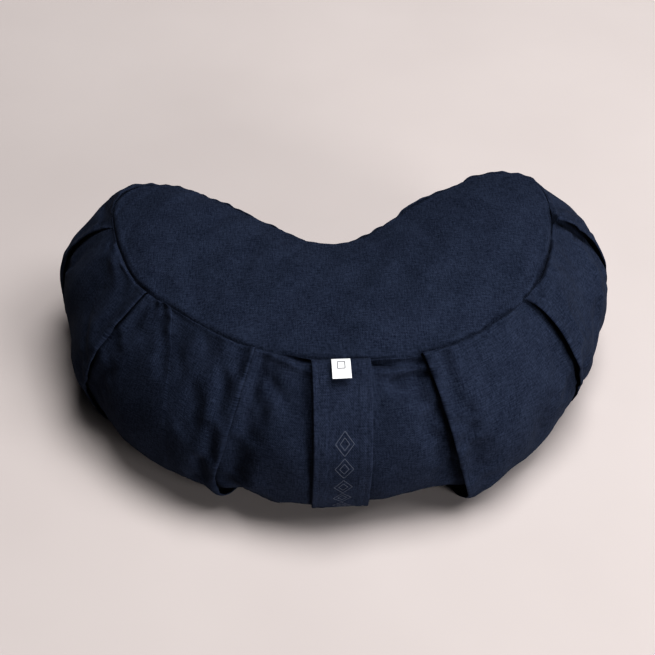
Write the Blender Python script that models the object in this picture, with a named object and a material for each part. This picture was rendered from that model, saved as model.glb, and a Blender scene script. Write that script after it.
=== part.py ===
"""Crescent floor cushion: a sewn, zipped cover with a carry handle, over a zipped liner full of hulls.

Metres, +Z up. The origin is on the floor under the middle of the cushion. The round front faces -Y,
the hollow back faces +Y, and the cushion is the same left and right of the YZ plane. The handle and the
label are sewn on a few millimetres to the left of it.
"""

import math
from collections import namedtuple
from functools import lru_cache

import bmesh
import bpy
import numpy as np
from mathutils import Matrix, Vector

# Plan of the top seam: a round front, two round horns, straight flanks and a round notch.
FRONT_RADIUS = 0.176
FRONT_CENTRE_Y = 0.0830
HORN_CENTRE = (0.136, 0.0730)
FLANK_ANGLE = math.radians(37)
NOTCH_RADIUS = 0.0516

# Heights and fullness of the cover.
TOP_SEAM = 0.130
BASE_SEAM = 0.006
TOP_CROWN = 0.009
FRONT_BULGE = 0.041
HORN_BACK_BULGE = 0.033
FLANK_BULGE = 0.012
NOTCH_BULGE = 0.006
BULGE_OVERLAP = 0.020
BASE_SPREAD = 0.016
TOP_FULLNESS = 1.0
BASE_FULLNESS = 0.42

# Cloth.
COVER_CLOTH = 0.0012
LINER_CLOTH = 0.0010
SEAM_GAP = 0.0003

# Underside: flat on the floor, lifted at its edge and in a valley along the zip.
EDGE_LIFT_WIDTH = 0.022
SLOT_HALF = 0.0062
ZIP_HALF = 0.115
Valley = namedtuple("Valley", "lift plateau width end_start end_stop margin")
COVER_VALLEY = Valley(0.0072, SLOT_HALF, 0.034, ZIP_HALF + 0.013, ZIP_HALF + 0.029, 0.015)
LINER_VALLEY = Valley(0.0117, 0.030, 0.050, ZIP_HALF + 0.022, ZIP_HALF + 0.048, 0.015)
HULLS_VALLEY = Valley(0.0130, 0.032, 0.052, ZIP_HALF + 0.024, ZIP_HALF + 0.050, 0.008)

# Zip in the underside, and the smaller one in the liner's front wall.
ZIP_Y = -0.007
ZIP_Z = 0.0090
LINER_ZIP_Z = 0.060
LINER_ZIP_HALF = 0.100
LINER_ZIP_SCALE = 0.75
LINER_ZIP_DEPTH = 0.0030
TAPE_OVERRUN = 0.008
SLIDER_HALF = 0.006
LINER_FLOOR = 0.0023
HULLS_FLOOR = 0.0066
LINER_CROWN = TOP_CROWN - 0.001

# Carry handle and label, on the front.
HANDLE_X = -0.0045
HANDLE_HALF_WIDTH = 0.0215
HANDLE_THICKNESS = 0.0022
HANDLE_STANDOFF = 0.0058
HANDLE_FREE = (0.26, 0.80)
HANDLE_SEWN = (0.045, 0.965)
LABEL_X = -0.0075
LABEL_HALF_WIDTH = 0.007
LABEL_THICKNESS = 0.0012
LABEL_RUN = (0.055, 0.165)
HANDLE_JOIN = 0.0015
HANDLE_RISE = 0.7

# How finely the cloth is divided.
FRONT_STEPS = 20
HORN_STEPS = 6
FLANK_STEPS = 4
NOTCH_STEPS = 4
WALL_STEPS = 9
PANEL_STEPS = 6
LINER_STEPS = 4
UNDER_ALONG = 22
UNDER_ACROSS = 12
SHORTEST_STEP = 0.004

Sack = namedtuple("Sack", "plan_inset top base bulge_loss cloth")
COVER = Sack(0.0, TOP_SEAM, BASE_SEAM, 0.0, COVER_CLOTH)
LINER = Sack(0.0030, 0.1262, 0.0100, 0.0065, LINER_CLOTH)
HULLS = Sack(0.0075, 0.1245, 0.0169, 0.0090, 0.0)

# Each look is a colour, a roughness and a metallic value.
COLOURS = {
    "navy_cloth": ((0.016, 0.022, 0.045, 1.0), 0.92, 0.0),
    "navy_webbing": ((0.020, 0.027, 0.052, 1.0), 0.88, 0.0),
    "white_label": ((0.85, 0.86, 0.87, 1.0), 0.80, 0.0),
    "navy_tape": ((0.014, 0.018, 0.036, 1.0), 0.85, 0.0),
    "navy_coil": ((0.018, 0.022, 0.040, 1.0), 0.45, 0.0),
    "dark_metal": ((0.12, 0.12, 0.13, 1.0), 0.35, 1.0),
    "natural_cloth": ((0.62, 0.57, 0.47, 1.0), 0.95, 0.0),
    "natural_tape": ((0.66, 0.62, 0.54, 1.0), 0.85, 0.0),
    "hulls": ((0.11, 0.065, 0.035, 1.0), 0.80, 0.0),
}


def clear_scene():
    for obj in list(bpy.data.objects):
        bpy.data.objects.remove(obj, do_unlink=True)


def material(name):
    found = bpy.data.materials.get(name)
    if found:
        return found
    colour, roughness, metallic = COLOURS[name]
    made = bpy.data.materials.new(name)
    made.use_nodes = True
    shader = made.node_tree.nodes["Principled BSDF"]
    shader.inputs["Base Color"].default_value = colour
    shader.inputs["Roughness"].default_value = roughness
    shader.inputs["Metallic"].default_value = metallic
    return made


def smooth(x):
    x = min(max(x, 0.0), 1.0)
    return x * x * (3 - 2 * x)


def fade(x):
    """1 at 0 and below, falling to 0 at 1 and staying there."""
    return 1 - smooth(x)


# ---------------------------------------------------------------- plan outline


def plan_runs():
    """The right half of the top seam in plan, from the front's middle to the notch's middle.

    Each run is (length, function of the way along it to a point and its outward normal).
    """
    cx, cy = HORN_CENTRE
    to_horn = math.atan2(cy - FRONT_CENTRE_Y, cx)
    horn_radius = FRONT_RADIUS - math.hypot(cx, cy - FRONT_CENTRE_Y)
    flank_normal = math.pi / 2 + FLANK_ANGLE
    flank_end = (cx + horn_radius * math.cos(flank_normal), cy + horn_radius * math.sin(flank_normal))
    line_at_middle = flank_end[1] - flank_end[0] * math.tan(FLANK_ANGLE)
    notch_y = line_at_middle + NOTCH_RADIUS / math.cos(FLANK_ANGLE)
    flank_start = (NOTCH_RADIUS * math.sin(FLANK_ANGLE), notch_y - NOTCH_RADIUS * math.cos(FLANK_ANGLE))
    flank_length = math.dist(flank_start, flank_end)

    def arc(centre, radius, start, stop, sign):
        def at(length):
            angle = start + (stop - start) * length / (radius * abs(stop - start))
            direction = (math.cos(angle), math.sin(angle))
            point = (centre[0] + radius * direction[0], centre[1] + radius * direction[1])
            return point, (sign * direction[0], sign * direction[1])

        return radius * abs(stop - start), at

    def flank(length):
        share = length / flank_length
        point = tuple(a + (b - a) * share for a, b in zip(flank_end, flank_start))
        return point, (math.cos(flank_normal), math.sin(flank_normal))

    return [
        arc((0, FRONT_CENTRE_Y), FRONT_RADIUS, -math.pi / 2, to_horn, 1),
        arc(HORN_CENTRE, horn_radius, to_horn, flank_normal, 1),
        (flank_length, flank),
        arc((0, notch_y), NOTCH_RADIUS, FLANK_ANGLE - math.pi / 2, -math.pi / 2, -1),
    ]


RUNS = plan_runs()
HORN_START, FLANK_START, NOTCH_START, NOTCH_MIDDLE = np.cumsum([length for length, _ in RUNS])


def round_horn(share):
    """A place on the seam, part of the way round the horn."""
    return HORN_START + share * (FLANK_START - HORN_START)


# The wall's two seams are behind the horns, and the panels' grids have their corners on the horns.
BACK_SEAM = round_horn(0.86)
PANEL_CORNERS = (round_horn(0.12), round_horn(0.80))


def plan(s):
    """The top seam's point and outward normal, s metres round it from the front, right side positive."""
    if s > NOTCH_MIDDLE:
        s -= 2 * NOTCH_MIDDLE
    if s < -NOTCH_MIDDLE:
        s += 2 * NOTCH_MIDDLE
    left = abs(s)
    for length, at in RUNS:
        if left <= length + 1e-12:
            break
        left -= length
    (x, y), (nx, ny) = at(min(left, length))
    side = -1 if s < 0 else 1
    return np.array((side * x, y)), np.array((side * nx, ny))


def bulge(s):
    """How far the cover's wall stands out at its fullest, s metres round the seam."""
    s = abs(s) if abs(s) <= NOTCH_MIDDLE else 2 * NOTCH_MIDDLE - abs(s)
    horn_middle = round_horn(0.5)
    changes = (
        (HORN_BACK_BULGE - FRONT_BULGE, HORN_START, horn_middle),
        (FLANK_BULGE - HORN_BACK_BULGE, horn_middle, FLANK_START + BULGE_OVERLAP),
        (NOTCH_BULGE - FLANK_BULGE, NOTCH_START - BULGE_OVERLAP, NOTCH_MIDDLE),
    )
    grown = [change * smooth((s - start) / (stop - start)) for change, start, stop in changes]
    return FRONT_BULGE + sum(grown)


def stations(steps_by_run, start, stop):
    """Places round the seam from start to stop, spaced by the run that each lies on."""
    edges = [0.0, HORN_START, FLANK_START, NOTCH_START, NOTCH_MIDDLE]
    half = [edges[0]]
    for low, high, steps in zip(edges, edges[1:], steps_by_run):
        half += list(np.linspace(low, high, steps + 1)[1:])
    full = sorted({-s for s in half} | set(half) | {2 * NOTCH_MIDDLE - s for s in half})
    inside = [s for s in full if start + SHORTEST_STEP < s < stop - SHORTEST_STEP]
    return [start] + inside + [stop]


STEPS = (FRONT_STEPS // 2, HORN_STEPS, FLANK_STEPS, NOTCH_STEPS // 2)


# ---------------------------------------------------------------- surfaces


def wall_point(sack, s, t):
    """A point on the outside of a sack's wall: t runs from 0 at the top seam to 1 at the base seam."""
    share = (1 + math.cos(math.pi * t)) / 2
    fullness = BASE_FULLNESS + (TOP_FULLNESS - BASE_FULLNESS) * smooth(share * 1.3)
    swell = (4 * share * (1 - share)) ** fullness if 0 < share < 1 else 0.0
    (x, y), (nx, ny) = plan(s)
    out = max(bulge(s) - sack.bulge_loss, 0.0) * swell + BASE_SPREAD * (1 - share) - sack.plan_inset
    return np.array((x + nx * out, y + ny * out, sack.base + (sack.top - sack.base) * share))


def wall_normal(sack, s, t):
    ds, dt = 0.001, 0.004
    t_low, t_high = max(t - dt, 0.012), min(t + dt, 0.988)
    if t_high <= t_low:
        t_low, t_high = (0.012, 0.02) if t < 0.5 else (0.98, 0.988)
    along = wall_point(sack, s + ds, t) - wall_point(sack, s - ds, t)
    down = wall_point(sack, s, t_high) - wall_point(sack, s, t_low)
    normal = np.cross(down, along)
    return normal / np.linalg.norm(normal)


def wall_layer(sack, s, t, depth):
    """A point under the outside of a sack's wall by depth, or above it where depth is negative."""
    return wall_point(sack, s, t) - depth * wall_normal(sack, s, t)


def wall_grid(sack, places, rows, depth):
    return [[wall_layer(sack, s, t, depth) for t in rows] for s in places]


def spread_plan(s, out):
    (x, y), (nx, ny) = plan(s)
    return np.array((x + nx * out, y + ny * out))


def coons(bottom, top, left, right):
    """A grid of plan points inside four polylines: bottom and top run the same way, as do left and right."""
    columns, rows = len(bottom), len(left)
    grid = []
    for i in range(columns):
        u = i / (columns - 1)
        line = []
        for j in range(rows):
            v = j / (rows - 1)
            ruled = (1 - v) * bottom[i] + v * top[i] + (1 - u) * left[j] + u * right[j]
            left_end = (1 - v) * bottom[0] + v * top[0]
            right_end = (1 - v) * bottom[-1] + v * top[-1]
            line.append(ruled - (1 - u) * left_end - u * right_end)
        grid.append(line)
    return grid


def between(start, stop, steps, out):
    return [spread_plan(s, out) for s in np.linspace(start, stop, steps + 1)]


def crescent_grid(out, along, across):
    """Plan points over the whole crescent, whose edge is the seam moved out by out."""
    near, far = PANEL_CORNERS
    return coons(
        between(-near, near, along, out),
        between(2 * NOTCH_MIDDLE - far, far, along, out),
        between(-near, -far, across, out),
        between(near, far, across, out),
    )


def crown(grid, base, height, depth):
    """A domed panel on a crescent grid: base at the seam, height more at its middle."""
    columns, rows = len(grid), len(grid[0])
    dome = []
    for i, line in enumerate(grid):
        u = 2 * i / (columns - 1) - 1
        dome.append([])
        for j, (x, y) in enumerate(line):
            v = 2 * j / (rows - 1) - 1
            dome[-1].append(np.array((x, y, base - depth + height * (1 - u**6) * (1 - v * v))))
    return dome


OUTLINE_CORNERS = 400
EDGE_TOLERANCE = 0.0002


@lru_cache
def outline(out):
    """Corners and sides of a fine polygon along the seam moved out by out."""
    places = np.linspace(-NOTCH_MIDDLE, NOTCH_MIDDLE, OUTLINE_CORNERS)
    corners = np.array([spread_plan(s, out) for s in places])
    return corners[:-1], np.diff(corners, axis=0)


def distance_inside(x, y, out):
    """How far a point is from the edge of the underside. Within the tolerance it counts as on the edge."""
    corners, sides = outline(out)
    offset = np.array((x, y)) - corners
    share = np.clip(np.sum(offset * sides, axis=1) / np.sum(sides**2, axis=1), 0, 1)
    nearest = np.min(np.linalg.norm(offset - share[:, None] * sides, axis=1))
    return max(nearest - EDGE_TOLERANCE, 0.0)


def under_lift(x, y, out, edge_lift, valley):
    """How far the underside stands off the floor: up at its edge, and up along the zip."""
    inside = distance_inside(x, y, out)
    at_edge = edge_lift * max(1 - inside / EDGE_LIFT_WIDTH, 0.0) ** 2
    across = (abs(y - ZIP_Y) - valley.plateau) / (valley.width - valley.plateau)
    along = (abs(x) - valley.end_start) / (valley.end_stop - valley.end_start)
    return max(at_edge, valley.lift * fade(across) * fade(along) * smooth(inside / valley.margin))


# ---------------------------------------------------------------- solids


def solid(name, points, faces, material_name):
    mesh = bpy.data.meshes.new(name)
    mesh.from_pydata([tuple(map(float, p)) for p in points], [], faces)
    shape = bmesh.new()
    shape.from_mesh(mesh)
    bmesh.ops.remove_doubles(shape, verts=shape.verts, dist=1e-6)
    bmesh.ops.recalc_face_normals(shape, faces=shape.faces)
    shape.to_mesh(mesh)
    shape.free()
    mesh.shade_smooth()
    mesh.set_sharp_from_angle(angle=math.radians(40))
    mesh.materials.append(material(material_name))
    obj = bpy.data.objects.new(name, mesh)
    bpy.context.scene.collection.objects.link(obj)
    return obj


def set_origin(obj, place):
    """Put a piece's origin at a place, such as one on its joint's axis, and leave the piece where it is."""
    obj.data.transform(Matrix.Translation(-Vector(place)))
    obj.location = place


def between_grids(outer, inner):
    """Points and faces of the closed solid between two grids of the same size."""
    rows, columns = len(outer), len(outer[0])
    points = [p for line in outer for p in line] + [p for line in inner for p in line]
    under = rows * columns

    def at(i, j):
        return i * columns + j

    faces = []
    for i in range(rows - 1):
        for j in range(columns - 1):
            quad = (at(i, j), at(i + 1, j), at(i + 1, j + 1), at(i, j + 1))
            faces.append(quad)
            faces.append(tuple(under + k for k in reversed(quad)))
    rim = [at(i, 0) for i in range(rows)]
    rim += [at(rows - 1, j) for j in range(1, columns)]
    rim += [at(i, columns - 1) for i in range(rows - 2, -1, -1)]
    rim += [at(0, j) for j in range(columns - 2, 0, -1)]
    for a, b in zip(rim, rim[1:] + rim[:1]):
        faces.append((b, a, under + a, under + b))
    return points, faces


def sheet(name, outer, inner, material_name):
    return solid(name, *between_grids(outer, inner), material_name)


def ranges(start, stop, steps):
    return [float(t) for t in np.linspace(start, stop, steps + 1)]


# ---------------------------------------------------------------- cover and liner


def top_panel(name, sack, along, across, crown_height, material_name):
    grid = crescent_grid(-sack.plan_inset - SEAM_GAP, along, across)
    outer = crown(grid, sack.top, crown_height, 0.0)
    inner = crown(grid, sack.top, crown_height, sack.cloth)
    return sheet(name, outer, inner, material_name)


def wall_rows(sack, steps, low=0.0, high=1.0):
    """Rows of a wall, which stops short of the panels' cloth at both seams."""
    height = sack.top - sack.base
    first = math.acos(1 - 2 * (sack.cloth + SEAM_GAP) / height) / math.pi
    last = 1 - math.acos(1 - 2 * SEAM_GAP / height) / math.pi
    return ranges(max(low, first), min(high, last), steps)


def wall(name, sack, start, stop, rows, material_name):
    places = stations(STEPS, start + SEAM_GAP / 2, stop - SEAM_GAP / 2)
    outer = wall_grid(sack, places, rows, 0.0)
    inner = wall_grid(sack, places, rows, sack.cloth)
    return sheet(name, outer, inner, material_name)


def under_panel(name, grid, sack, floor, out, valley, material_name):
    """A piece of the underside on a plan grid, with its outside floor above the floor."""
    edge_lift = sack.base - SEAM_GAP - sack.cloth - floor

    def layer(depth):
        return [
            [np.array((x, y, floor + depth + under_lift(x, y, out, edge_lift, valley))) for x, y in line]
            for line in grid
        ]

    return sheet(name, layer(0.0), layer(sack.cloth), material_name)


SLOT_CLOSES = 0.008
FRONT_PIECE_ROWS = (0.0, 0.12, 0.25, 0.45, 0.65, 0.80, 1.0)


def zip_side_grids():
    """Plan grids of the underside's front and back pieces, which meet along the zip."""
    out = BASE_SPREAD - SEAM_GAP
    radius = FRONT_RADIUS + out
    zip_below_centre = FRONT_CENTRE_Y - ZIP_Y
    reach = math.sqrt(radius**2 - zip_below_centre**2) - 10 * SEAM_GAP
    stop_x = ZIP_HALF + TAPE_OVERRUN
    beyond = (stop_x + SLOT_CLOSES, COVER_VALLEY.end_stop, reach)
    xs = sorted({*np.linspace(-stop_x, stop_x, 15), *beyond, *(-x for x in beyond)})

    def edge(x, side):
        slot = SLOT_HALF if abs(x) <= stop_x + 1e-9 else SEAM_GAP / 2
        return ZIP_Y + side * slot

    front = []
    for x in xs:
        low = FRONT_CENTRE_Y - math.sqrt(radius**2 - x**2)
        high = edge(x, -1)
        front.append([np.array((x, low + (high - low) * row)) for row in FRONT_PIECE_ROWS])

    meets_edge = FRONT_RADIUS * math.acos(zip_below_centre / radius) + SHORTEST_STEP
    near, far = PANEL_CORNERS
    left = between(-near, -meets_edge, WALL_STEPS - 2, out)
    middle = [np.array((x, edge(x, 1))) for x in xs]
    right = between(meets_edge, near, WALL_STEPS - 2, out)
    bottom = left + middle + right
    top = between(2 * NOTCH_MIDDLE - far, far, len(bottom) - 1, out)
    sides = (between(-near, -far, WALL_STEPS - 1, out), between(near, far, WALL_STEPS - 1, out))
    return front, coons(bottom, top, *sides)


def make_cover():
    top_panel("top_panel", COVER, FRONT_STEPS, PANEL_STEPS, TOP_CROWN, "navy_cloth")
    rows = wall_rows(COVER, WALL_STEPS)
    wall("front_wall", COVER, -BACK_SEAM, BACK_SEAM, rows, "navy_cloth")
    wall("back_wall", COVER, BACK_SEAM, 2 * NOTCH_MIDDLE - BACK_SEAM, rows, "navy_cloth")
    front, back = zip_side_grids()
    for name, grid in (("bottom_panel_front", front), ("bottom_panel_back", back)):
        under_panel(name, grid, COVER, 0.0, BASE_SPREAD, COVER_VALLEY, "navy_cloth")


def liner_zip_radius():
    """Radius of the liner zip's tape, which lies inside the liner's wall."""
    middle = wall_point(LINER, 0.0, wall_row_at(LINER, LINER_ZIP_Z))
    return FRONT_CENTRE_Y - middle[1] - LINER_CLOTH - LINER_ZIP_DEPTH


def wall_row_at(sack, z):
    """The row of a sack's wall that is at height z."""
    share = (z - sack.base) / (sack.top - sack.base)
    return math.acos(2 * share - 1) / math.pi


def liner_strip(name, side):
    """The liner's front wall above (side 1) or below (side -1) its zip."""
    scale = LINER_ZIP_SCALE
    stop = LINER_ZIP_HALF + TAPE_OVERRUN
    half_slot = SLOT_HALF * scale
    full = wall_rows(LINER, LINER_STEPS)
    places = stations(STEPS, -BACK_SEAM + SEAM_GAP / 2, BACK_SEAM - SEAM_GAP / 2)
    clear = [s for s in places if abs(abs(s) - stop) > 1.5 * SHORTEST_STEP]
    places = sorted([*clear, stop, -stop])

    def layer(depth):
        grid = []
        for s in places:
            slot = half_slot if abs(s) <= stop + 1e-9 else SEAM_GAP / 2
            edge = wall_row_at(LINER, LINER_ZIP_Z + side * slot)
            ends = (full[0], edge) if side > 0 else (edge, full[-1])
            rows = ranges(*ends, LINER_STEPS)
            grid.append([wall_layer(LINER, s, t, depth) for t in rows])
        return grid

    return sheet(name, layer(0.0), layer(LINER_CLOTH), "natural_cloth")


def make_liner():
    top_panel("liner_top_panel", LINER, FRONT_STEPS, LINER_STEPS, LINER_CROWN, "natural_cloth")
    liner_strip("liner_front_wall_upper", 1)
    liner_strip("liner_front_wall_lower", -1)
    rows = wall_rows(LINER, LINER_STEPS + 2)
    wall("liner_back_wall", LINER, BACK_SEAM, 2 * NOTCH_MIDDLE - BACK_SEAM, rows, "natural_cloth")
    out = BASE_SPREAD - LINER.plan_inset - SEAM_GAP
    grid = crescent_grid(out, UNDER_ALONG, UNDER_ACROSS)
    under_panel("liner_bottom_panel", grid, LINER, LINER_FLOOR, out, LINER_VALLEY, "natural_cloth")


def make_hulls():
    """The loose filling, as one body in the shape of the liner's inside."""
    rows = ranges(0.0, 1.0, WALL_STEPS - 2)
    near, far = PANEL_CORNERS
    along, across = UNDER_ALONG, UNDER_ACROSS
    bottom = list(np.linspace(-near, near, along + 1))
    right = list(np.linspace(near, far, across + 1))
    top = list(np.linspace(far, 2 * NOTCH_MIDDLE - far, along + 1))
    left = list(np.linspace(-far, -near, across + 1))
    ring = bottom[:-1] + right[:-1] + top[:-1] + left[:-1]
    points, faces = [], []
    for t in rows:
        points += [wall_point(HULLS, s, t) for s in ring]
    n = len(ring)
    for k in range(len(rows) - 1):
        for i in range(n):
            a, b = k * n + i, k * n + (i + 1) % n
            faces.append((a, b, b + n, a + n))
    upper = crown(crescent_grid(-HULLS.plan_inset, along, across), HULLS.top, LINER_CROWN, 0.0)
    out = BASE_SPREAD - HULLS.plan_inset
    lift = HULLS.base - HULLS_FLOOR
    lower = [
        [np.array((x, y, HULLS_FLOOR + under_lift(x, y, out, lift, HULLS_VALLEY))) for x, y in line]
        for line in crescent_grid(out, along, across)
    ]
    for grid in (upper, lower):
        first = len(points)
        points += [p for line in grid for p in line]
        for i in range(along):
            for j in range(across):
                a = first + i * (across + 1) + j
                faces.append((a, a + across + 1, a + across + 2, a + 1))
    solid("hull_filling", points, faces, "hulls")


# ---------------------------------------------------------------- handle and label


def front_strip(name, run, half_width, middle_x, low, high, steps, material_name):
    """A band down the front wall, from low to high above the wall's cloth. Both are functions of the row."""
    rows = ranges(*run, steps)
    columns = (middle_x - half_width, middle_x, middle_x + half_width)

    def layer(height):
        grid = []
        for t in rows:
            y, z = wall_layer(COVER, 0.0, t, -height(t))[1:]
            grid.append([np.array((x, y, z)) for x in columns])
        return grid

    return sheet(name, layer(high), layer(low), material_name)


def handle_under(t):
    """The handle's underside above the wall: close at its sewn ends, clear of it between them."""
    start, stop = HANDLE_SEWN
    share = (t - start) / (stop - start)
    return 2 * SEAM_GAP + HANDLE_STANDOFF * math.sin(math.pi * min(max(share, 0.0), 1.0)) ** HANDLE_RISE


def handle_face(t):
    return handle_under(t) + HANDLE_THICKNESS


def make_handle():
    """The strap down the front: its sewn ends, and the free stretch between them that a hand lifts."""
    first, last = HANDLE_SEWN
    free_start, free_stop = HANDLE_FREE
    runs = {
        "handle_top_end": (first, free_start - HANDLE_JOIN, 4),
        "carry_handle": (free_start + HANDLE_JOIN, free_stop - HANDLE_JOIN, 10),
        "handle_bottom_end": (free_stop + HANDLE_JOIN, last, 4),
    }
    layers = (handle_under, handle_face)
    for name, (start, stop, steps) in runs.items():
        strap = front_strip(name, (start, stop), HANDLE_HALF_WIDTH, HANDLE_X, *layers, steps, "navy_webbing")
        set_origin(strap, wall_point(COVER, HANDLE_X, (start + stop) / 2))


def make_label():
    def low(t):
        return handle_face(t) + SEAM_GAP

    def high(t):
        return low(t) + LABEL_THICKNESS

    label = front_strip("label", LABEL_RUN, LABEL_HALF_WIDTH, LABEL_X, low, high, 3, "white_label")
    top_edge = wall_layer(COVER, 0.0, LABEL_RUN[0], -low(LABEL_RUN[0]))
    set_origin(label, (LABEL_X, top_edge[1], top_edge[2]))


# ---------------------------------------------------------------- zips
# A zip is drawn in its own space: s along it, a across it and b out of the cushion from its tape.
# Sizes here are those of the larger zip, in metres, and the liner's are scaled down from them.

ROW_INNER = 0.0009
COIL_OUTER = 0.0031
COIL_BASE, COIL_TOP = 0.0006, 0.0023
TAPE_HALF_THICKNESS = 0.0003
TAPE_HALF_WIDTH = 0.013
STOP_TOP = COIL_TOP + 0.0003
END_GAP = 0.0004
TOP_STOP_LENGTH = 0.0020
BOTTOM_STOP_LENGTH = 0.0030
PULL_AXIS_B = 0.0046
PULL_HALF_WIDTH = 0.0032
PULL_LENGTH = 0.021
PULL_HALF_THICKNESS = 0.00045
EYE_LENGTH = 0.0052
EYE_HALF_WIDTH = 0.0012
STEP_IN = 0.00002

# The slider's bars, each as its ranges of s, a and b.
SLIDER_BARS = {
    "outer plate": ((-SLIDER_HALF, SLIDER_HALF), (-0.0046, 0.0046), (0.0027, 0.0039)),
    "inner plate": ((-SLIDER_HALF, SLIDER_HALF), (-0.0040, 0.0040), (-0.0017, -0.0007)),
    "neck": ((0.0025, 0.0055), (-0.0005, 0.0005), (-0.0012, 0.0032)),
    "front flange": ((-0.0058, 0.0058), (0.0036, 0.0045), (0.0008, 0.0032)),
    "back flange": ((-0.0058, 0.0058), (-0.0045, -0.0036), (0.0008, 0.0032)),
    "bail's near post": ((-0.0042, -0.0030), (-0.0007, 0.0007), (0.0033, 0.0058)),
    "bail's far post": ((0.0030, 0.0042), (-0.0007, 0.0007), (0.0033, 0.0058)),
    "bail's bridge": ((-0.0044, 0.0044), (-0.0009, 0.0009), (0.0053, 0.0061)),
}


def cover_zip(s, a, b):
    return np.array((s, ZIP_Y - a, ZIP_Z - b))


SLIDER_ORIGIN = {"liner_zip_": (0.0, FRONT_CENTRE_Y, LINER_ZIP_Z)}


def liner_zip(s, a, b):
    radius = liner_zip_radius()
    angle = s / radius
    reach = radius + b
    return np.array((reach * math.sin(angle), FRONT_CENTRE_Y - reach * math.cos(angle), LINER_ZIP_Z + a))


def bar(place, scale, s_range, a_range, b_range, steps, centre=0.0):
    """Points and faces of a bar in a zip's space. s_range counts from centre, which isn't scaled."""
    ss = [centre + scale * s for s in np.linspace(*s_range, steps + 1)]
    (a0, a1), (b0, b1) = ([scale * x for x in pair] for pair in (a_range, b_range))
    outer = [[place(s, a0, b1), place(s, a1, b1)] for s in ss]
    inner = [[place(s, a0, b0), place(s, a1, b0)] for s in ss]
    return between_grids(outer, inner)


def joined(name, bars, material_name):
    """One solid from overlapping bars."""
    made = [solid(f"{name}_piece_{i}", *pieces, material_name) for i, pieces in enumerate(bars)]
    body = made[0]
    body.name = name
    for extra in made[1:]:
        extra.hide_render = True
        extra.display_type = "WIRE"
        union = body.modifiers.new(extra.name, "BOOLEAN")
        union.operation = "UNION"
        union.solver = "EXACT"
        union.object = extra
    return body


def make_zip(prefix, sides, place, scale, half, colours):
    """A closed coil zip with its slider parked at the end where s is largest."""
    tape_colour, coil_colour = colours
    steps = 12 if place is liner_zip else 1
    reach = half / scale
    overrun = TAPE_OVERRUN / scale - 0.001
    for side, sign in zip(sides, (1, -1)):
        across = sorted((sign * ROW_INNER, sign * TAPE_HALF_WIDTH))
        thickness = (-TAPE_HALF_THICKNESS, TAPE_HALF_THICKNESS)
        tape = bar(place, scale, (-reach - overrun, reach + overrun), across, thickness, steps)
        solid(f"{prefix}tape_{side}", *tape, tape_colour)
        across = sorted((sign * ROW_INNER, sign * COIL_OUTER))
        coil = bar(place, scale, (-reach, reach), across, (COIL_BASE, COIL_TOP), steps)
        solid(f"{prefix}coil_{side}", *coil, coil_colour)
        ends = (reach + END_GAP, reach + END_GAP + TOP_STOP_LENGTH)
        stop = bar(place, scale, ends, across, (COIL_BASE, STOP_TOP), 1)
        solid(f"{prefix}top_stop_{side}", *stop, "dark_metal")
    ends = (-reach - END_GAP - BOTTOM_STOP_LENGTH, -reach - END_GAP)
    stop = bar(place, scale, ends, (-COIL_OUTER, COIL_OUTER), (COIL_BASE, STOP_TOP), 1)
    solid(f"{prefix}bottom_stop", *stop, "dark_metal")

    parked = half - scale * (SLIDER_HALF + END_GAP + 0.0001)
    make_slider(prefix, place, scale, parked)
    make_pull(prefix, place, scale, parked)


def make_slider(prefix, place, scale, parked):
    """Two plates either side of the chain, a neck between its rows, side flanges and the pull's bail."""
    bars = [bar(place, scale, *ranges_of, 1, centre=parked) for ranges_of in SLIDER_BARS.values()]
    slider = joined(f"{prefix}slider", bars, "dark_metal")
    set_origin(slider, SLIDER_ORIGIN.get(prefix, place(parked, 0.0, 0.0)))


def make_pull(prefix, place, scale, parked):
    """A tab whose eye hangs on the slider's bail. It lies back over the chain."""
    near, far = EYE_LENGTH, PULL_LENGTH
    half = PULL_HALF_WIDTH
    low, high = PULL_AXIS_B - PULL_HALF_THICKNESS, PULL_AXIS_B + PULL_HALF_THICKNESS
    rod = (low + STEP_IN, high - STEP_IN)
    sides = (low + 2 * STEP_IN, high - 2 * STEP_IN)
    side_run = (-near - 0.001, PULL_HALF_THICKNESS - 2 * STEP_IN)
    pieces = {
        "tab": ((-far, -near), (-half, half), (low, high)),
        "rod": ((-PULL_HALF_THICKNESS, PULL_HALF_THICKNESS), (-half + 0.0001, half - 0.0001), rod),
        "eye's front side": (side_run, (-half + 0.0002, -EYE_HALF_WIDTH), sides),
        "eye's back side": (side_run, (EYE_HALF_WIDTH, half - 0.0002), sides),
    }
    bars = [bar(place, scale, *ranges_of, 1, centre=parked) for ranges_of in pieces.values()]
    pull = joined(f"{prefix}pull", bars, "dark_metal")
    set_origin(pull, place(parked, 0.0, scale * PULL_AXIS_B))


# ---------------------------------------------------------------- the cushion

clear_scene()
make_cover()
make_handle()
make_label()
make_zip("zip_", ("front", "back"), cover_zip, 1.0, ZIP_HALF, ("navy_tape", "navy_coil"))
make_liner()
NATURAL = ("natural_tape", "natural_tape")
make_zip("liner_zip_", ("upper", "lower"), liner_zip, LINER_ZIP_SCALE, LINER_ZIP_HALF, NATURAL)
make_hulls()
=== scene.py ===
import math

import bpy
import numpy as np
from mathutils import Matrix, Vector


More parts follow.
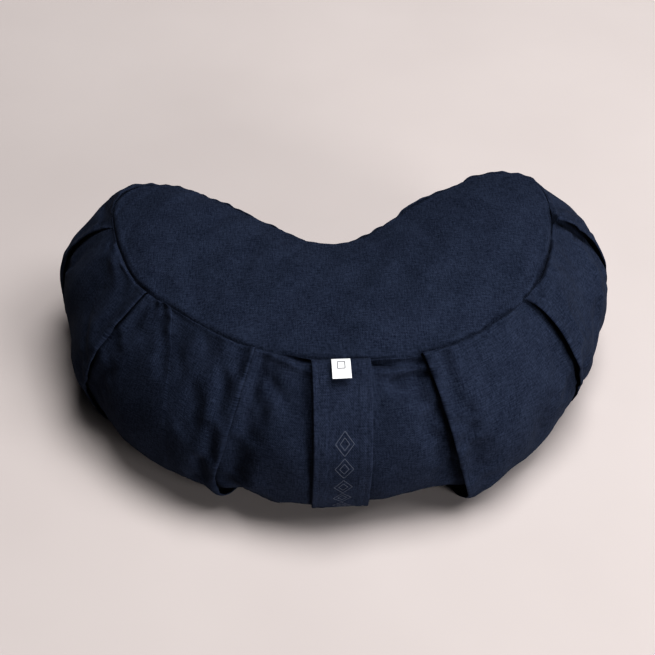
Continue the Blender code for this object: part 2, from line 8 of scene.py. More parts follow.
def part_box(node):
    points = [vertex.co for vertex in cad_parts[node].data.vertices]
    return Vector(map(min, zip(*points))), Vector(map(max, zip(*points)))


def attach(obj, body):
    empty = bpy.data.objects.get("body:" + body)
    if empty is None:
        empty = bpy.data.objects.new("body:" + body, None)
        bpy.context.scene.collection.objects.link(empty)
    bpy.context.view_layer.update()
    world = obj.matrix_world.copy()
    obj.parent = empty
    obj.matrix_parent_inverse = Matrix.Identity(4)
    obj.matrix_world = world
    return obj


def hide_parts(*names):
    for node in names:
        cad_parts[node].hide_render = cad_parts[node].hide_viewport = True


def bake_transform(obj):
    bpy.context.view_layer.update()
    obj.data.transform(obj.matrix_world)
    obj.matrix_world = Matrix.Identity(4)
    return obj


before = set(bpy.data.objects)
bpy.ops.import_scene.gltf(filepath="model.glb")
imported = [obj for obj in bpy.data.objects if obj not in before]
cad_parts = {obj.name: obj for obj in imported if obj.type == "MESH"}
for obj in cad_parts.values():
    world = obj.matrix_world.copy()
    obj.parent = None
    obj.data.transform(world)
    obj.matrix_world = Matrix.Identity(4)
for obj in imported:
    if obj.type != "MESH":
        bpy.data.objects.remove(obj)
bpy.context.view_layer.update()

# ---- sizes, in metres
# The cushion's plan and profile are those of the frame. s runs round the top seam from the middle of
# the round front, right side positive. t runs down the wall from 0 at the top seam to 1 at the base seam.

FRONT_RADIUS = 0.176
FRONT_CENTRE = (0.0, 0.083)
HORN_CENTRE = (0.136, 0.073)
FLANK_ANGLE = math.radians(37)
NOTCH_RADIUS = 0.0516
TOP_SEAM = 0.13
BASE_SEAM = 0.006
TOP_CROWN = 0.009
BASE_SPREAD = 0.016
FRONT_BULGE, HORN_BULGE, FLANK_BULGE, NOTCH_BULGE = 0.041, 0.033, 0.012, 0.006
BULGE_OVERLAP = 0.02



def x_range(name):
    """The middle and the half width of a CAD node along x."""
    low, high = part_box(name)
    return (low.x + high.x) / 2, (high.x - low.x) / 2


HANDLE_X, HANDLE_HALF_WIDTH = x_range("carry_handle")
HANDLE_SEWN = (0.012, 0.985)
HANDLE_STANDOFF = 0.0036
HANDLE_THICKNESS = 0.0022
STRAP_OFFSET = -0.0034
STRAP_LENGTH = 0.18
LABEL_X, LABEL_HALF_WIDTH = x_range("label")
LABEL_RUN = (0.03, 0.172)
LABEL_THICKNESS = 0.0009
LABEL_LENGTH = 0.0155
ZIP_Z = 0.009
ZIP_Y = (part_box("zip_coil_front")[0].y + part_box("zip_coil_back")[1].y) / 2
ZIP_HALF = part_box("zip_coil_front")[1].x

# How the sewn cushion differs from an even one, as (s, millimetres further out): its top seam, the fullest
# part of its wall, its wall just above the floor, which slumps outward under the filling, and, as
# (s, millimetres higher), its wall just below the top seam.


def metres(pairs):
    """(place, millimetres) pairs with their second numbers in metres."""
    return tuple((place, length / 1000) for place, length in pairs)


SEAM_SHIFT = metres((
    (-0.48, -1.6), (-0.43, -1), (-0.365, -0.4), (-0.33, -2), (-0.304, 3.4), (-0.27, -0.6), (-0.225, -1.2),
    (-0.183, 0), (-0.15, -3.4), (-0.118, -4), (-0.08, -2.2), (-0.048, -2.2), (-0.015, -0.2), (0.03, 1.6),
    (0.06, 4.2), (0.11, 3.6), (0.165, 3), (0.195, 0.4), (0.24, -2.8), (0.272, -3.6), (0.305, 1.6),
    (0.328, 0.8), (0.362, 3), (0.405, 5.8), (0.448, 3.6),
))
WALL_SHIFT = metres((
    (-0.4, 0), (-0.33, -0.8), (-0.295, -3), (-0.262, -4.8), (-0.16, 0), (-0.05, 0.8), (0, 0), (0.1, 0),
    (0.16, 0), (0.205, -1), (0.24, 2), (0.285, -3.4), (0.33, -0.4), (0.42, 0),
))
SLUMP = metres((
    (-0.38, 0), (-0.26, 1), (-0.2, 4), (-0.13, 5), (-0.085, 1.6), (-0.06, 3), (-0.03, 3), (0.01, 0.8),
    (0.045, 0.6), (0.064, 4.6), (0.09, 7), (0.125, 5.8), (0.16, 4), (0.2, 1), (0.26, 0), (0.36, 0),
))
SHOULDER = metres((
    (-0.42, 0), (-0.34, 0.4), (-0.304, 2.4), (-0.285, -1.6), (-0.25, 0), (-0.1, 0.6), (0, 0.4),
    (0.15, 0.6), (0.24, 0.6), (0.268, -2), (0.3, -1.2), (0.36, 1), (0.41, 2.6), (0.45, 1),
))


# ---- curves and small helpers


def even(count):
    return np.linspace(0, 1, count)


def smooth(x):
    x = np.clip(x, 0.0, 1.0)
    return x * x * (3 - 2 * x)


def through(points, at, period=None):
    """A smooth curve through (place, value) points, read at the places given."""
    places = np.array([p for p, _ in points], float)
    values = np.array([v for _, v in points], float)
    if period:
        at = (np.asarray(at) - places[0]) % period + places[0]
        places = np.concatenate((places[-2:] - period, places, places[:3] + period))
        values = np.concatenate((values[-2:], values, values[:3]))
    slopes = np.gradient(values, places)
    at = np.clip(at, places[0], places[-1])
    i = np.clip(np.searchsorted(places, at, side="right") - 1, 0, len(places) - 2)
    width = places[i + 1] - places[i]
    u = (at - places[i]) / width
    return (
        values[i] * (1 + 2 * u) * (1 - u) ** 2
        + values[i + 1] * (3 - 2 * u) * u**2
        + width * (slopes[i] * u * (1 - u) ** 2 - slopes[i + 1] * (1 - u) * u**2)
    )


def ripples(x, y, length_x, length_y, seed, waves=7):
    """Gentle uneven waves, about -1 to 1, with the given lengths in metres along x and y."""
    chance = np.random.default_rng(seed)
    total = np.zeros(np.broadcast(x, y).shape)
    for _ in range(waves):
        turn = chance.uniform(0, 2 * math.pi)
        kx = 2 * math.pi / length_x * chance.uniform(0.55, 1.35) * chance.choice((-1, 1))
        ky = 2 * math.pi / length_y * chance.uniform(0.4, 1.3)
        total += np.sin(kx * x + ky * y + turn)
    return total / math.sqrt(waves)


def plan_table(step=0.0005):
    """Length, point and outward normal along the right half of the even top seam, and its runs' ends."""
    cx, cy = HORN_CENTRE
    fx, fy = FRONT_CENTRE
    to_horn = math.atan2(cy - fy, cx - fx)
    horn_radius = FRONT_RADIUS - math.dist(HORN_CENTRE, FRONT_CENTRE)
    flank_normal = math.pi / 2 + FLANK_ANGLE
    end = (cx + horn_radius * math.cos(flank_normal), cy + horn_radius * math.sin(flank_normal))
    notch_y = end[1] - end[0] * math.tan(FLANK_ANGLE) + NOTCH_RADIUS / math.cos(FLANK_ANGLE)
    start = (NOTCH_RADIUS * math.sin(FLANK_ANGLE), notch_y - NOTCH_RADIUS * math.cos(FLANK_ANGLE))

    def arc(centre, radius, first, last, sign):
        count = max(int(radius * abs(last - first) / step), 2)
        angles = np.linspace(first, last, count)
        normals = np.stack((np.cos(angles), np.sin(angles)), 1)
        return np.array(centre) + radius * normals, sign * normals

    count = int(math.dist(start, end) / step)
    share = even(count)[:, None]
    flank = np.array(end) * (1 - share) + np.array(start) * share
    flank_normals = np.tile((math.cos(flank_normal), math.sin(flank_normal)), (count, 1))
    runs = (
        arc(FRONT_CENTRE, FRONT_RADIUS, -math.pi / 2, to_horn, 1),
        arc(HORN_CENTRE, horn_radius, to_horn, flank_normal, 1),
        (flank, flank_normals),
        arc((0, notch_y), NOTCH_RADIUS, FLANK_ANGLE - math.pi / 2, -math.pi / 2, -1),
    )
    points = np.concatenate([p for p, _ in runs])
    normals = np.concatenate([n for _, n in runs])
    lengths = np.concatenate(([0], np.cumsum(np.linalg.norm(np.diff(points, axis=0), axis=1))))
    ends = np.cumsum([len(p) for p, _ in runs]) - 1
    return lengths, points, normals, lengths[ends]


PLAN_S, PLAN_POINTS, PLAN_NORMALS, RUN_ENDS = plan_table()
HORN_START, FLANK_START, NOTCH_START, HALF = RUN_ENDS


def wrapped(s):
    """s in its range, from one side of the middle of the back round to the other."""
    return (np.asarray(s, float) + HALF) % (2 * HALF) - HALF


def around(table, s):
    """A smooth closed curve through a table's (s, value) points."""
    return through(table, s, 2 * HALF)


def plan(s):
    """Plan point and outward normal of the even top seam at each s."""
    s = wrapped(s)
    side = np.where(s < 0, -1.0, 1.0)
    a = np.abs(s)
    x, y = (np.interp(a, PLAN_S, PLAN_POINTS[:, k]) for k in (0, 1))
    nx, ny = (np.interp(a, PLAN_S, PLAN_NORMALS[:, k]) for k in (0, 1))
    return np.stack((side * x, y), -1), np.stack((side * nx, ny), -1)


def bulge(s):
    """How far the wall stands out at its fullest."""
    s = np.abs(wrapped(s))
    middle = (HORN_START + FLANK_START) / 2
    out = FRONT_BULGE + (HORN_BULGE - FRONT_BULGE) * smooth((s - HORN_START) / (middle - HORN_START))
    out += (FLANK_BULGE - HORN_BULGE) * smooth((s - middle) / (FLANK_START + BULGE_OVERLAP - middle))
    notch = (s - NOTCH_START + BULGE_OVERLAP) / (HALF - NOTCH_START + BULGE_OVERLAP)
    return out + (NOTCH_BULGE - FLANK_BULGE) * smooth(notch)


def wall_point(s, t):
    """Points of the smooth wall, before its pleats. s and t are arrays of one shape."""
    share = (1 + np.cos(math.pi * t)) / 2
    fullness = 0.42 + 0.58 * smooth(share * 1.3)
    swell = np.clip(4 * share * (1 - share), 0, None) ** fullness
    point, normal = plan(s)
    low = around(SLUMP, s) * smooth((t - 0.32) / 0.46)
    reach = (bulge(s) + around(WALL_SHIFT, s)) * swell + BASE_SPREAD * (1 - share) + low
    reach += around(SEAM_SHIFT, s) * share**2
    flat = point + normal * reach[..., None]
    height = BASE_SEAM + (TOP_SEAM - BASE_SEAM) * share - 0.35 * low * (1 - share)
    height += around(SHOULDER, s) * np.exp(-(((t - 0.13) / 0.07) ** 2))
    return np.concatenate((flat, np.maximum(height, 0.001)[..., None]), -1)


def wall_axes(s, t):
    """Unit vectors along s and out of the smooth wall."""
    ds, dt = 0.0015, 0.006
    inner = np.clip(t, 0.02, 0.98)
    along = wall_point(s + ds, inner) - wall_point(s - ds, inner)
    down = wall_point(s, inner + dt) - wall_point(s, inner - dt)
    out = np.cross(down, along)
    along /= np.linalg.norm(along, axis=-1, keepdims=True)
    return along, out / np.linalg.norm(out, axis=-1, keepdims=True)


# ---- meshes


class Shape:
    """A mesh in the making: grids and tubes, each with a place on the flat cloth and a material."""

    def __init__(self):
        self.points, self.faces, self.cloth, self.looks, self.count = [], [], [], [], 0

    def grid(self, points, cloth, look=0, closed_rows=False, closed_columns=False, flip=False):
        """Faces between the points of a grid. flip turns them over; a closed tube's always face outward."""
        rows, columns, _ = points.shape
        i = np.arange(rows if closed_rows else rows - 1)[:, None]
        j = np.arange(columns if closed_columns else columns - 1)[None, :]
        after_i, after_j = (i + 1) % rows, (j + 1) % columns
        at = self.count
        corners = (i * columns + j, after_i * columns + j, after_i * columns + after_j, i * columns + after_j)
        faces = np.stack(corners, -1).reshape(-1, 4)
        if closed_columns:
            a, b, c, d = (points.reshape(-1, 3)[faces[:, k]] - points.mean((0, 1)) for k in range(4))
            flip = np.sum(a * (np.cross(b, c) + np.cross(c, d))) < 0
        self.faces.append(at + (faces[:, ::-1] if flip else faces))
        self.looks.append(np.full(len(self.faces[-1]), look))
        self.points.append(points.reshape(-1, 3))
        self.cloth.append(np.asarray(cloth).reshape(-1, 2))
        self.count += rows * columns

    def tube(self, path, radius, look=0, sides=6, normal=(0, 0, 1), flatten=1.0, ring=False):
        """A tube along a path. Its section is flattened across the normals given, one or one a point."""
        path = np.asarray(path, float)
        ahead = np.gradient(path, axis=0)
        if ring:
            ahead = np.roll(path, -1, 0) - np.roll(path, 1, 0)
        ahead /= np.linalg.norm(ahead, axis=1, keepdims=True)
        out = np.broadcast_to(np.asarray(normal, float), path.shape)
        out = out - ahead * np.sum(out * ahead, 1, keepdims=True)
        out = out / np.linalg.norm(out, axis=1, keepdims=True)
        across = np.cross(ahead, out)
        angles = np.linspace(0, 2 * math.pi, sides, endpoint=False)
        radii = np.broadcast_to(np.asarray(radius, float), (len(path),))[:, None, None]
        section = across[:, None] * np.cos(angles)[None, :, None]
        section = section + flatten * out[:, None] * np.sin(angles)[None, :, None]
        points = path[:, None] + radii * section
        length = np.arange(len(path))[:, None] * 0.001 + 0 * angles[None]
        cloth = np.stack((length, np.broadcast_to(angles * 0.0005, length.shape)), -1)
        self.grid(points, cloth, look, closed_rows=ring, closed_columns=True)

    def made(self, name, materials):
        mesh = bpy.data.meshes.new(name)
        faces = np.concatenate(self.faces)
        mesh.from_pydata(np.concatenate(self.points).tolist(), [], faces.tolist())
        layer = mesh.uv_layers.new(name="cloth")
        corners = np.zeros(len(mesh.loops), np.int32)
        mesh.loops.foreach_get("vertex_index", corners)
        cloth = np.concatenate(self.cloth).astype(np.float32)
        layer.data.foreach_set("uv", cloth[corners].ravel())
        for material in materials:
            mesh.materials.append(material)
        mesh.polygons.foreach_set("material_index", np.concatenate(self.looks).astype(np.int32))
        mesh.shade_smooth()
        piece = bpy.data.objects.new(name, mesh)
        bpy.context.scene.collection.objects.link(piece)
        return piece


# ---- the cover's wall
# A pleat: the side whose cloth lies on top (1 for the side of larger s), how far the under cloth runs
# beneath and how far its swelling reaches (millimetres), how sharp the fold is as (t, 0 to 1) points, its
# path as (t, s in millimetres) points, and how high its edge stands as (t, millimetres) points.

SHARP = ((0.0, 1.0), (1.0, 1.0))
OPENS = ((0.0, 0.0), (0.12, 0.0), (0.3, 1.0), (1.0, 1.0))
PLEATS = [(side, metres(path), under / 1000, metres(lift), sharp, reach / 1000)
          for side, under, reach, sharp, path, lift in (
    (-1, 5, 22, OPENS, ((0, -403), (0.5, -404), (1, -400)),
     ((0, 0), (0.12, 0.2), (0.3, 2), (0.55, 3), (1, 1))),
    (-1, 7, 30, OPENS, ((0, -318), (0.4, -326), (1, -322)),
     ((0, 0), (0.12, 0.3), (0.3, 2.2), (0.55, 3.6), (1, 2))),
    (-1, 8, 20, SHARP, ((0, -250), (0.1, -258), (0.2, -265), (0.4, -268), (1, -264)),
     ((0, 1), (0.12, 2.4), (0.35, 3.8), (0.7, 2), (1, 1.2))),
    (-1, 8, 30, SHARP, ((0, -171), (0.25, -173), (0.5, -179), (0.68, -188), (0.78, -182), (1, -176)),
     ((0, 1.4), (0.3, 3.4), (0.7, 3), (1, 1.2))),
    (-1, 2, 7, ((0, 0.7), (0.2, 0.6), (0.36, 0), (1, 0)),
     ((0, -150), (0.09, -142), (0.18, -134), (0.25, -126), (1, -116)),
     ((0, 0.5), (0.09, 1.3), (0.27, 0.6), (0.36, 0), (1, 0))),
    (-1, 9, 34, SHARP, ((0, -70), (0.25, -71), (0.45, -74), (0.66, -80), (0.8, -79), (1, -75)),
     ((0, 1.8), (0.4, 4.2), (0.66, 6.2), (0.82, 4.8), (1, 2))),
    (1, 9, 40, SHARP, ((0, 51), (0.3, 55), (0.45, 58), (0.64, 65), (0.8, 71), (1, 70)),
     ((0, 1.8), (0.3, 4.6), (0.6, 8), (0.82, 8), (1, 5))),
    (1, 8, 34, SHARP, ((0, 147), (0.2, 153), (0.42, 154), (0.7, 167), (1, 166)),
     ((0, 1.8), (0.25, 5.2), (0.45, 5.2), (0.62, 1.8), (0.8, 0.6), (1, 0.6))),
    (1, 8, 15, SHARP, ((0, 241), (0.06, 241.5), (0.12, 244), (0.2, 248), (0.32, 254), (0.6, 252), (1, 244)),
     ((0, 3.6), (0.12, 6), (0.28, 6.4), (0.42, 2.6), (0.6, 1.2), (1, 1))),
    (1, 6, 26, OPENS, ((0, 322), (0.5, 330), (1, 326)),
     ((0, 0), (0.12, 0.3), (0.3, 2.2), (0.55, 3.5), (1, 2))),
    (1, 5, 22, OPENS, ((0, 410), (0.5, 408), (1, 404)),
     ((0, 0), (0.12, 0.2), (0.3, 2), (0.55, 3), (1, 1))),
)]

# Dents and soft creases in the wall: s and t of each end, then half width and depth in millimetres, with
# ridges below 0.
DENTS = (
    (-0.066, 0.035, -0.044, 0.045, 2.2, 1.4), (-0.056, 0.05, -0.026, 0.1, 3, 12),
    (-0.058, 0.095, -0.026, 0.15, 3.4, -2.2), (-0.06, 0.18, -0.04, 0.28, 4.4, 3),
    (-0.064, 0.12, -0.065, 0.45, 5, 3.4), (-0.065, 0.45, -0.072, 0.72, 6, 4.6),
    (0.01, 0.09, 0.046, 0.112, 3.2, 12.5), (0.026, 0.2, 0.049, 0.184, 2.8, 11.5),
    (0.012, 0.155, 0.046, 0.148, 2.8, -2.4), (0.02, 0.255, 0.046, 0.245, 3.6, -1.6),
    (-0.163, 0.04, -0.156, 0.15, 3, 2.4), (-0.152, 0.06, -0.147, 0.18, 2.6, 1.4),
    (-0.116, 0.04, -0.103, 0.17, 3.4, 2.2), (-0.094, 0.06, -0.09, 0.15, 4, -1),
    (-0.089, 0.18, -0.081, 0.3, 3.4, 2.2), (-0.256, 0.03, -0.29, 0.24, 3.6, 7.2),
    (-0.24, 0.04, -0.236, 0.12, 3.6, 8), (-0.278, 0.12, -0.288, 0.3, 11, 1.4),
    (-0.226, 0.08, -0.2, 0.17, 5, -2.2), (-0.196, 0.09, -0.184, 0.24, 5, 2.2),
    (0.078, 0.06, 0.07, 0.3, 2.2, 0.9), (0.07, 0.3, 0.066, 0.52, 2.4, 0.8),
    (0.108, 0.08, 0.106, 0.2, 5.5, 1.4), (0.18, 0.1, 0.186, 0.3, 6, 1.2),
    (0.238, 0.17, 0.233, 0.28, 2.6, -3.4), (0.233, 0.28, 0.213, 0.42, 3, -3.6),
    (0.213, 0.42, 0.2, 0.56, 4, -2.2), (0.22, 0.15, 0.214, 0.3, 8, 3.4),
    (0.206, 0.25, 0.196, 0.42, 8, 2.6), (-0.068, 0.74, -0.058, 0.96, 8.5, 11),
    (0.058, 0.84, 0.038, 0.96, 10, 9.5), (HANDLE_X - 0.0036, 0.06, HANDLE_X - 0.0036, 0.96, 17, 1.8),
    (-0.345, 0.08, -0.352, 0.26, 5, 1.8), (0.362, 0.08, 0.366, 0.3, 6, 1.8),
    (0.44, 0.06, 0.446, 0.26, 5, 1.6), (-0.44, 0.07, -0.448, 0.3, 5, 1.6),
)
WALL_ROWS = 121
COLUMN_WIDTH = 0.0024
FOLD_GAP = 0.0013
FOLD_COLUMNS = 24
FOLD_EDGE = 0.0016
DIP = 0.32
GROOVE_DEPTH = 0.0028
GROOVE_WIDTH = 0.0008
SEAM_ROLL = 0.00055
CLOSED_SEAM = (0.3, 0.058)

# A fold's section, from the under cloth round to the upper: multiples of the fold's gap, of how far the
# cloth runs beneath, of how high the fold stands, and of the thickness of its edge.
FOLD_STOPS = (
    (-1.0, 0.0, -DIP, 0.0), (0.3, 0.2, -DIP, 0.0), (1.0, 0.6, -0.9 * DIP, 0.0), (1.0, 1.0, 0.0, 0.0),
    (1.2, 1.0, 0.55, -0.3), (1.0, 0.6, 0.92, -0.9), (0.0, 0.25, 1.0, -1.0), (-0.7, 0.0, 1.0, -1.0),
    (-1.25, 0.0, 1.0, -0.5), (-0.5, 0.0, 1.0, 0.0), (1.0, 0.0, 1.0, 0.0),
)


def fold_section(under, lift):
    """A knife pleat across, with its upper cloth on the +x side: x and z of each column and row."""
    knots = even(len(FOLD_STOPS))
    p = even(FOLD_COLUMNS)
    gap, beneath, high, thick = (
        through(list(zip(knots, [stop[k] for stop in FOLD_STOPS])), p)[:, None] for k in range(4)
    )
    edge = np.minimum(FOLD_EDGE, 0.55 * lift)
    return FOLD_GAP * gap + under * beneath, high * lift + thick * edge


def dents(s, t):
    """How far the wall is pushed in by its dents."""
    total = np.zeros_like(s)
    span = 0.17
    for s0, t0, s1, t1, half, depth in DENTS:
        ends = np.array(((s0, t0 * span), (s1, t1 * span)))
        line = ends[1] - ends[0]
        away = (np.stack((s, t * span), -1) - ends[0])
        away[..., 0] = wrapped(away[..., 0])
        share = np.clip(np.sum(away * line, -1) / np.sum(line**2), 0, 1)
        gap = np.linalg.norm(away - share[..., None] * line, axis=-1)
        taper = 0.35 + 0.65 * np.sin(math.pi * np.clip(share, 0.02, 0.98))
        total += depth / 1000 * taper * np.exp(-((1000 * gap / half) ** 2))
    return total


def wall_columns():
    """s of each wall column by row, and how far each point is moved along s and out of the wall."""
    t = even(WALL_ROWS) ** 1.3
    paths = [through(path, t) for _, path, *_ in PLEATS]
    places, along, out, pleat_of = [], [], [], []
    for k, (side, _, under, lift, sharp, _) in enumerate(PLEATS):
        height = np.maximum(through(lift, t), 0)
        keen = np.clip(through(sharp, t), 0, 1)
        x, z = fold_section(np.full(WALL_ROWS, under), height)
        p = even(FOLD_COLUMNS)[:, None]
        x = keen * x + (1 - keen) * FOLD_GAP * (2 * p - 1)
        z = keen * z + (1 - keen) * height * ((1 + DIP) * smooth(p) - DIP)
        if side < 0:
            x, z = -x[::-1], z[::-1]
        places.append(np.tile(paths[k], (FOLD_COLUMNS, 1)))
        along.append(x)
        out.append(z)
        pleat_of.append(np.full(FOLD_COLUMNS, k))
        following = paths[(k + 1) % len(PLEATS)] + (2 * HALF if k == len(PLEATS) - 1 else 0)
        start, stop = paths[k] + FOLD_GAP, following - FOLD_GAP
        count = max(int(np.mean(stop - start) / COLUMN_WIDTH), 3)
        share = even(count + 2)[1:-1, None]
        places.append(start + (stop - start) * share)
        along.append(np.zeros((count, WALL_ROWS)))
        out.append(np.zeros((count, WALL_ROWS)))
        pleat_of.append(np.full(count, -1))
    places, along, out, pleat_of = (np.concatenate(a) for a in (places, along, out, pleat_of))
    for k, (side, _, _, lift, _, reach) in enumerate(PLEATS):
        distance = side * wrapped(places - paths[k]) - FOLD_GAP
        height = np.maximum(through(lift, t), 0)
        above = np.exp(-((distance / reach) ** 2)) * (distance >= 0)
        beneath = -DIP * np.exp(-((distance / (0.3 * reach)) ** 2)) * (distance < 0)
        out += height * (above + beneath) * (pleat_of != k)[:, None]
    return places, np.tile(t, (len(places), 1)), along, out


def seam_profile(distance, s):
    """How far the cloth's surface rises beside a seam: down into the stitches, up in a small roll."""
    pull = 1 + 0.09 * ripples(s, 0 * s, 0.016, 1.0, 5)
    shut = 1 - 0.9 * np.exp(-(((s - CLOSED_SEAM[0]) / CLOSED_SEAM[1]) ** 6))
    groove = -GROOVE_DEPTH * pull * shut * np.exp(-((distance / GROOVE_WIDTH) ** 1.4))
    roll = SEAM_ROLL * (2 - pull) * np.exp(-(((distance - 0.0034) / 0.0018) ** 2))
    pucker = 0.0002 * ripples(s, 0 * s, 0.011, 1.0, 6) * np.exp(-distance / 0.007)
    return groove + roll + pucker * (1 - np.exp(-((distance / 0.002) ** 2)))


CLOTH_STRETCH = 1.15

# How far the wall's cloth may be pushed in before it meets the liner: at the seams, more at its middle,
# and never less than the last.
LINER_GAP, LINER_GAP_MIDDLE, LINER_GAP_LEAST = 0.0031, 0.0065, 0.0008

# The cloth simulations: their length, pressure, slack, how far the cloth starts inside its place, how far
# it may move, and their grids for the wall and the top panel.
SIM_FRAMES = 20
SIM_PRESSURE = 4.0
SIM_SLACK = 0.03
SIM_SHRUNK = 0.002
SIM_CAP = 0.006
SIM_GRID = (156, 30)
SIM_TOP_GRID = (62, 26)


def filled(points, normals, held, closed):
    """Cloth a little too large for its place, pressed outward by its filling: how far each point comes out.

    points is a grid, held is how firmly each of its points is sewn or pressed in place, from 0 to 1."""
    flat = Shape()
    start = points - SIM_SHRUNK * (1 - held)[..., None] * normals
    flat.grid(start, np.zeros(points.shape[:2] + (2,)), closed_rows=closed, flip=closed)
    piece = flat.made("cloth_under_pressure", [])
    group = piece.vertex_groups.new(name="held")
    for k, weight in enumerate(held.ravel()):
        group.add([k], float(weight), "REPLACE")
    cloth = piece.modifiers.new("cloth", "CLOTH")
    cloth.settings.quality = 5
    cloth.settings.mass = 0.15
    cloth.settings.tension_stiffness = cloth.settings.compression_stiffness = 12
    cloth.settings.shear_stiffness = 4
    cloth.settings.bending_stiffness = 0.02
    cloth.settings.use_pressure = True
    cloth.settings.uniform_pressure_force = SIM_PRESSURE
    cloth.settings.shrink_min = -SIM_SLACK
    cloth.settings.vertex_group_mass = "held"
    cloth.settings.effector_weights.gravity = 0
    cloth.collision_settings.use_collision = False
    cloth.point_cache.frame_end = SIM_FRAMES
    for step in range(1, SIM_FRAMES + 1):
        bpy.context.scene.frame_set(step)
    mesh = piece.evaluated_get(bpy.context.evaluated_depsgraph_get()).to_mesh()
    moved = np.empty(points.size, np.float32)
    mesh.vertices.foreach_get("co", moved)
    moved = moved.reshape(points.shape) - points
    bpy.data.objects.remove(piece)
    bpy.context.scene.frame_set(1)
    return np.clip(np.sum(moved * normals, -1), -SIM_CAP, SIM_CAP)


def read_grid(values, i, j, closed):
    """Values of a grid between its points, on a smooth curve through them. i and j are shares of the grid."""
    rows, columns = values.shape
    total = 0.0
    at_i, at_j = i * (rows if closed else rows - 1), j * (columns - 1)
    low_i, low_j = np.floor(at_i).astype(int), np.floor(at_j).astype(int)
    u, v = at_i - low_i, at_j - low_j

    def weights(x):
        return (-0.5 * x + x**2 - 0.5 * x**3, 1 - 2.5 * x**2 + 1.5 * x**3,
                0.5 * x + 2 * x**2 - 1.5 * x**3, -0.5 * x**2 + 0.5 * x**3)

    for a, weight_i in enumerate(weights(u)):
        row = (low_i + a - 1) % rows if closed else np.clip(low_i + a - 1, 0, rows - 1)
        for b, weight_j in enumerate(weights(v)):
            total = total + weight_i * weight_j * values[row, np.clip(low_j + b - 1, 0, columns - 1)]
    return total


def wall_filled():
    """The wall's cloth under its filling, sewn at both seams and held along its pleats."""
    s = -HALF + 2 * HALF * np.arange(SIM_GRID[0]) / SIM_GRID[0]
    t = even(SIM_GRID[1])
    s, t = np.meshgrid(s, t, indexing="ij")
    _, normal = wall_axes(s, t)
    held = np.where((t < 0.01) | (t > 0.9), 1.0, 0.0)
    for _, path, _, lift, sharp, _ in PLEATS:
        gap = np.abs(wrapped(s - through(path, t)))
        held = np.maximum(held, 0.9 * through(sharp, t) * (gap < 0.0045))
    flank = smooth((np.abs(s) - 0.29) / 0.05) * (1 - smooth((t - 0.1) / 0.3))
    firmer = (1 - 0.75 * flank) * (1 - 0.5 * smooth((t - 0.5) / 0.25))
    return filled(wall_point(s, t), normal, held, True) * firmer


def wall_surface():
    """Points of the pleated wall, with the s, t and length down the cloth of each."""
    s, t, along, out = wall_columns()
    points = wall_point(s, t)
    tangent, normal = wall_axes(s, t)
    spans = np.linalg.norm(np.diff(points, axis=1), axis=-1)
    down = np.concatenate((np.zeros((len(s), 1)), np.cumsum(spans, axis=1)), 1)
    rest = smooth(t / 0.05) * smooth((1 - t) / 0.05)
    at = s + along / CLOTH_STRETCH
    belly = 0.0011 * ripples(at, down, 0.075, 0.11, 11) + 0.00055 * ripples(at, down, 0.03, 0.075, 12)
    gathers = 0.00045 * ripples(at, down, 0.015, 0.09, 13) * np.exp(-down / 0.035)
    belly = belly + read_grid(wall_filled(), (at + HALF) / (2 * HALF) % 1.0, t, True)
    out = out * (0.35 + 0.65 * rest) + (belly + gathers - dents(at, t)) * rest
    room = LINER_GAP + LINER_GAP_MIDDLE * np.sin(math.pi * np.clip(t, 0, 1)) ** 0.8
    room = room + (1 - t) * np.minimum(around(SEAM_SHIFT, s), 0)
    room = np.maximum(room + np.minimum(around(WALL_SHIFT, s), 0), LINER_GAP_LEAST)
    out = np.where(out < 0, -room * np.tanh(-out / room), out)
    points = points + tangent * along[..., None] + normal * out[..., None]
    points[..., 2] += seam_profile(down, s)
    points[..., 2] = np.maximum(points[..., 2], 0.0004)
    return points, s, t, down


def spread(count):
    """Shares from 0 to 1 that lie closer together at both ends."""
    return 0.25 * even(count) + 0.75 * (1 - np.cos(math.pi * even(count))) / 2


def coons(bottom, top, left, right, shares=spread):
    """A grid of points inside four lines of points."""
    u = shares(len(bottom))[:, None, None]
    v = shares(len(left))[None, :, None]
    ruled = (1 - v) * bottom[:, None] + v * top[:, None] + (1 - u) * left[None] + u * right[None]
    corners = (1 - u) * ((1 - v) * bottom[0] + v * top[0]) + u * ((1 - v) * bottom[-1] + v * top[-1])
    return ruled - corners


def round_horn(share):
    return HORN_START + share * (FLANK_START - HORN_START)


def crescent(level, along, across):
    """A grid of plan points inside the wall's edge at a level, 0 its top seam or 1 its base seam."""
    near, far = round_horn(HORN_NEAR), round_horn(HORN_FAR)

    def edge(start, stop, count):
        s = start + (stop - start) * spread(count)
        return wall_point(s, np.full(count, float(level)))[:, :2]

    return coons(
        edge(-near, near, along),
        edge(2 * HALF - far, far, along),
        edge(-near, -far, across),
        edge(near, far, across),
    )


def from_edge(grid, level):
    """Distance of each plan point from the edge, and the s of the nearest place on it."""
    s = np.linspace(-HALF, HALF, 1400)
    edge = wall_point(s, np.full(len(s), float(level)))[:, :2]
    flat = grid.reshape(-1, 2)
    distance, nearest = np.empty(len(flat)), np.empty(len(flat))
    for start in range(0, len(flat), 2000):
        gaps = np.linalg.norm(flat[start : start + 2000, None] - edge[None], axis=-1)
        k = gaps.argmin(1)
        distance[start : start + 2000] = gaps[np.arange(len(k)), k]
        nearest[start : start + 2000] = s[k]
    shape = grid.shape[:-1]
    return distance.reshape(shape), nearest.reshape(shape)


